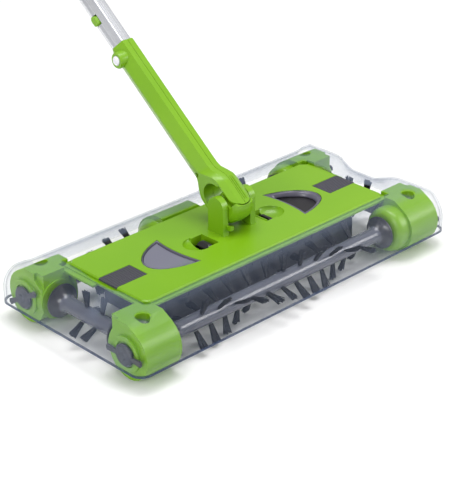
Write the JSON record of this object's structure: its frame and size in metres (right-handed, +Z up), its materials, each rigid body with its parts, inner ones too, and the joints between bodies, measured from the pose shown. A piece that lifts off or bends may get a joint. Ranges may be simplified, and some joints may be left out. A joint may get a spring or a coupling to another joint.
{
  "type": "carpet sweeper",
  "caption": "Cordless carpet sweeper with a clear-covered rectangular head, a brush roll along each side, a swivel joint, a battery pack on the pole and a folding elbow.",
  "frame": {"origin": "middle of the sweeping head, on the floor it stands on", "axes": "+X along the head to its right, +Y to its back, the way the pole leans, +Z up"},
  "size_m": [0.315, 1.0474, 0.8467],
  "materials": {
    "green": "gloss, apple green",
    "dark_green": "satin, very dark green",
    "clear": "clear polycarbonate",
    "smoke": "smoked gloss plastic",
    "dark": "satin dark grey",
    "bristle": "near-black nylon and rubber",
    "white": "satin white",
    "steel": "bright steel",
    "tube": "bright silver tube"
  },
  "bodies": {
    "head": {"top_plate": "green", "clear_cover": "clear", "window_bezel_left": "dark", "window_bezel_right": "dark", "window_lens_left": "smoke", "window_lens_right": "smoke", "tread_pad_left": "dark", "tread_pad_right": "dark", "drive_housing": "green", "drive_motor": "steel", "corner_housing_front_left": "green", "corner_housing_front_right": "green", "corner_housing_rear_left": "green", "corner_housing_rear_right": "green", "cover_screw_front_left": "steel", "cover_screw_front_right": "steel", "cover_screw_rear_left": "steel", "cover_screw_rear_right": "steel"},
    "front_roll": {"brush_roll_front": "dark", "bristles_front": "bristle", "bevel_gear_front_left": "dark", "bevel_gear_front_right": "dark", "side_whisker_front_left": "dark", "side_whisker_front_right": "dark"},
    "rear_roll": {"brush_roll_rear": "dark", "bristles_rear": "bristle", "drive_gear": "white", "bevel_gear_rear_left": "dark", "bevel_gear_rear_right": "dark", "side_whisker_rear_left": "dark", "side_whisker_rear_right": "dark"},
    "left_roll": {"brush_roll_left": "dark", "bristles_left": "bristle"},
    "right_roll": {"brush_roll_right": "dark", "bristles_right": "bristle"},
    "pinion": {"motor_pinion": "white"},
    "tray": {"dust_tray": "smoke"},
    "latch_left": {"tray_latch_left": "dark"},
    "latch_right": {"tray_latch_right": "dark"},
    "swivel": {"swivel_block": "green", "tilt_pin": "steel"},
    "lower_pole": {"arm_shell_left": "green", "arm_shell_right": "green", "lower_tube": "tube", "battery_housing": "green", "battery_cap": "green", "battery_pack": "dark", "elbow_lower": "green", "elbow_pin": "steel"},
    "arm_catch": {"arm_button": "white"},
    "tube_catch": {"tube_button": "green"},
    "rocker": {"rocker_switch": "dark"},
    "upper_pole": {"elbow_upper": "green", "upper_tube": "tube", "tube_ring": "bristle", "grip": "green", "grip_cap": "dark_green", "scraper_sleeve": "clear"},
    "elbow_catch": {"elbow_button": "green"},
    "scraper": {"scraper_tool": "green"}
  },
  "joints": [
    {"name": "handle_tilt", "type": "hinge", "parent": "head", "child": "swivel", "pos_m": [0, 0, 0.064], "axis": [1, 0, 0], "range_deg": [-34, 66]},
    {"name": "handle_lean", "type": "hinge", "parent": "swivel", "child": "lower_pole", "pos_m": [0, 0, 0.064], "axis": [0, 0.6293, -0.7771], "range_deg": [-25, 25]},
    {"name": "elbow_fold", "type": "hinge", "parent": "lower_pole", "child": "upper_pole", "pos_m": [0, 0.36668, 0.35643], "axis": [1, 0, 0], "range_deg": [0, 90]},
    {"name": "front_roll_spin", "type": "hinge", "parent": "head", "child": "front_roll", "pos_m": [0, -0.055, 0.0212], "axis": [1, 0, 0], "continuous": true},
    {"name": "rear_roll_spin", "type": "hinge", "parent": "head", "child": "rear_roll", "pos_m": [0, 0.055, 0.0212], "axis": [1, 0, 0], "continuous": true},
    {"name": "left_roll_spin", "type": "hinge", "parent": "head", "child": "left_roll", "pos_m": [-0.135, 0, 0.0212], "axis": [0, 1, 0], "continuous": true},
    {"name": "right_roll_spin", "type": "hinge", "parent": "head", "child": "right_roll", "pos_m": [0.135, 0, 0.0212], "axis": [0, 1, 0], "continuous": true},
    {"name": "pinion_spin", "type": "hinge", "parent": "head", "child": "pinion", "pos_m": [0.009, 0.036, 0.024], "axis": [1, 0, 0], "continuous": true},
    {"name": "tray_drop", "type": "slide", "parent": "head", "child": "tray", "axis": [0, 0, -1], "range_m": [0, 0.03]},
    {"name": "tray_latch_left_press", "type": "slide", "parent": "tray", "child": "latch_left", "axis": [1, 0, 0], "range_m": [0, 0.0024], "stiffness_N_per_m": 300, "springref_m": -0.001},
    {"name": "tray_latch_right_press", "type": "slide", "parent": "tray", "child": "latch_right", "axis": [-1, 0, 0], "range_m": [0, 0.0024], "stiffness_N_per_m": 300, "springref_m": -0.001},
    {"name": "arm_button_press", "type": "slide", "parent": "lower_pole", "child": "arm_catch", "axis": [1, 0, 0], "range_m": [0, 0.002], "stiffness_N_per_m": 400, "springref_m": -0.001},
    {"name": "tube_button_press", "type": "slide", "parent": "lower_pole", "child": "tube_catch", "axis": [1, 0, 0], "range_m": [0, 0.002], "stiffness_N_per_m": 400, "springref_m": -0.001},
    {"name": "rocker_tip", "type": "hinge", "parent": "lower_pole", "child": "rocker", "pos_m": [0, 0.16937, 0.26163], "axis": [1, 0, 0], "range_deg": [-5, 5]},
    {"name": "elbow_button_press", "type": "slide", "parent": "upper_pole", "child": "elbow_catch", "axis": [-1, 0, 0], "range_m": [0, 0.002], "stiffness_N_per_m": 400, "springref_m": -0.001},
    {"name": "scraper_pull", "type": "slide", "parent": "upper_pole", "child": "scraper", "axis": [0, 0.7771, 0.6293], "range_m": [0, 0.055]}
  ],
  "couplings": [
    {"joint": "rear_roll_spin", "follows": "front_roll_spin", "ratio": -1},
    {"joint": "left_roll_spin", "follows": "front_roll_spin", "ratio": -1},
    {"joint": "right_roll_spin", "follows": "front_roll_spin", "ratio": 1},
    {"joint": "pinion_spin", "follows": "front_roll_spin", "ratio": 2.75}
  ]
}
